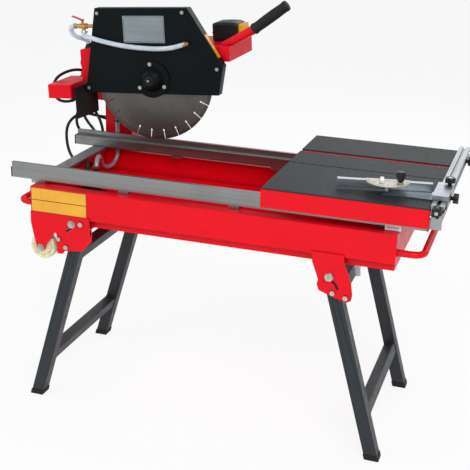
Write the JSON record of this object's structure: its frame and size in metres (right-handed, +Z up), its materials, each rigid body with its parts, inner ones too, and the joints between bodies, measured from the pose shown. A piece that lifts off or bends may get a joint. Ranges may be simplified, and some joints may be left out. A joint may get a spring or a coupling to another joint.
{
  "type": "tile cutter",
  "caption": "Folding wet saw for tiles: water tray with rails, sliding cart with mitre fence, and a tilting blade head with guard and motor.",
  "frame": {"origin": "bottom centre of the machine's bounding box, on the floor between the feet", "axes": "+X along the rails from the head end to the fence end, +Y from the working side to the motor side, +Z up"},
  "size_m": [1.2111, 0.614, 1.0831],
  "materials": {
    "red_paint": "gloss red powder coat",
    "black_paint": "satin black powder coat",
    "aluminium": "extruded, unpolished",
    "plate_aluminium": "bare satin plate",
    "zinc_steel": "zinc plated",
    "blade_steel": "ground steel core",
    "mat_rubber": "fine-grained rubber",
    "black_rubber": "matt",
    "cable_rubber": "smooth cable sheath",
    "black_plastic": "moulded, satin",
    "cream_nylon": "moulded nylon",
    "nylon": "machined nylon",
    "yellow_label": "printed film, left bare",
    "orange_film": "printed film, left bare",
    "yellow_plastic": "moulded",
    "beige_plastic": "moulded",
    "green_plastic": "moulded",
    "red_plastic": "moulded",
    "clear_hose": "clear flexible tube",
    "brass": "turned"
  },
  "bodies": {
    "frame": {"frame_side_near": "red_paint", "frame_side_far": "red_paint", "frame_ends": "red_paint", "water_pan": "red_paint", "cross_bars": "aluminium", "rail_near": "aluminium", "rail_far": "aluminium", "rail_caps": "black_plastic", "brackets_left": "red_paint", "brackets_right": "red_paint", "frame_bolts": "zinc_steel", "lift_handles": "red_paint", "label_plates": "yellow_label", "column": "red_paint", "pivot_arm": "red_paint", "water_pump": "black_plastic", "drain_hose": "clear_hose", "cable_pump": "cable_rubber", "cable_main": "cable_rubber", "cable_loop": "cable_rubber", "hose_supply": "clear_hose"},
    "wheel_near": {"wheel_near": "cream_nylon"},
    "wheel_far": {"wheel_far": "cream_nylon"},
    "legs_left": {"leg_frame_left": "black_paint", "feet_left": "black_rubber"},
    "legs_right": {"leg_frame_right": "black_paint", "feet_right": "black_rubber"},
    "head": {"arm_hood": "red_paint", "rear_beam": "red_paint", "guard_plate": "black_paint", "guard_shell": "black_paint", "guard_screws": "zinc_steel", "name_plate": "plate_aluminium", "edge_strip": "orange_film", "splash_flap": "black_rubber", "hub_housing": "black_paint", "motor": "black_paint", "switch_box": "black_plastic", "switch_plate": "yellow_plastic", "handle_tube": "red_paint", "hand_grip": "black_rubber", "water_fittings": "brass", "hose_front": "clear_hose", "hose_loop": "clear_hose", "cable_wrap": "cable_rubber"},
    "spindle": {"arbor": "zinc_steel", "blade": "blade_steel"},
    "start_button": {"start_button": "green_plastic"},
    "stop_button": {"stop_button": "red_plastic"},
    "valve_lever": {"valve_lever": "red_plastic"},
    "cart": {"cart_frame": "red_paint", "cart_mats": "mat_rubber", "cart_glides": "nylon", "fence_bar": "aluminium", "fence_knobs": "black_plastic"},
    "gauge_slide": {"gauge_slider": "aluminium", "slider_knobs": "black_plastic"},
    "gauge_swivel": {"gauge_fence": "aluminium", "protractor": "beige_plastic"},
    "gauge_knob": {"gauge_knob": "black_plastic"}
  },
  "joints": [
    {"name": "head_tilt", "type": "hinge", "parent": "frame", "child": "head", "pos_m": [-0.56006, 0.191, 0.801], "axis": [0, -1, 0], "range_deg": [-4, 30]},
    {"name": "blade_spin", "type": "hinge", "parent": "head", "child": "spindle", "pos_m": [-0.29854, 0.087, 0.84996], "axis": [0, -1, 0], "continuous": true},
    {"name": "cart_slide", "type": "slide", "parent": "frame", "child": "cart", "axis": [1, 0, 0], "range_m": [-0.53, 0]},
    {"name": "legs_left_fold", "type": "hinge", "parent": "frame", "child": "legs_left", "pos_m": [-0.35956, -0.067, 0.488], "axis": [0, -1, 0], "range_deg": [0, 106]},
    {"name": "legs_right_fold", "type": "hinge", "parent": "frame", "child": "legs_right", "pos_m": [0.31944, -0.067, 0.488], "axis": [0, 1, 0], "range_deg": [0, 92.5]},
    {"name": "wheel_near_spin", "type": "hinge", "parent": "frame", "child": "wheel_near", "pos_m": [-0.46556, -0.274, 0.45], "axis": [0, 1, 0], "continuous": true},
    {"name": "wheel_far_spin", "type": "hinge", "parent": "frame", "child": "wheel_far", "pos_m": [-0.46556, 0.14, 0.45], "axis": [0, 1, 0], "continuous": true},
    {"name": "start_press", "type": "slide", "parent": "head", "child": "start_button", "axis": [-0.9976, 0, -0.0698], "range_m": [0, 0.0015], "stiffness_N_per_m": 400},
    {"name": "stop_press", "type": "slide", "parent": "head", "child": "stop_button", "axis": [-0.9976, 0, -0.0698], "range_m": [0, 0.0015], "stiffness_N_per_m": 400},
    {"name": "valve_turn", "type": "hinge", "parent": "head", "child": "valve_lever", "pos_m": [-0.51833, 0.083, 0.99699], "axis": [-0.0698, 0, 0.9976], "range_deg": [0, 90]},
    {"name": "gauge_slide", "type": "slide", "parent": "cart", "child": "gauge_slide", "axis": [0, 1, 0], "range_m": [-0.035, 0.26]},
    {"name": "gauge_swivel", "type": "hinge", "parent": "gauge_slide", "child": "gauge_swivel", "pos_m": [0.42744, -0.202, 0.705], "axis": [0, 0, 1], "range_deg": [-56.2, 33.8]},
    {"name": "gauge_knob_turn", "type": "hinge", "parent": "gauge_swivel", "child": "gauge_knob", "pos_m": [0.46132, -0.22383, 0.725], "axis": [0, 0, 1], "continuous": true}
  ]
}
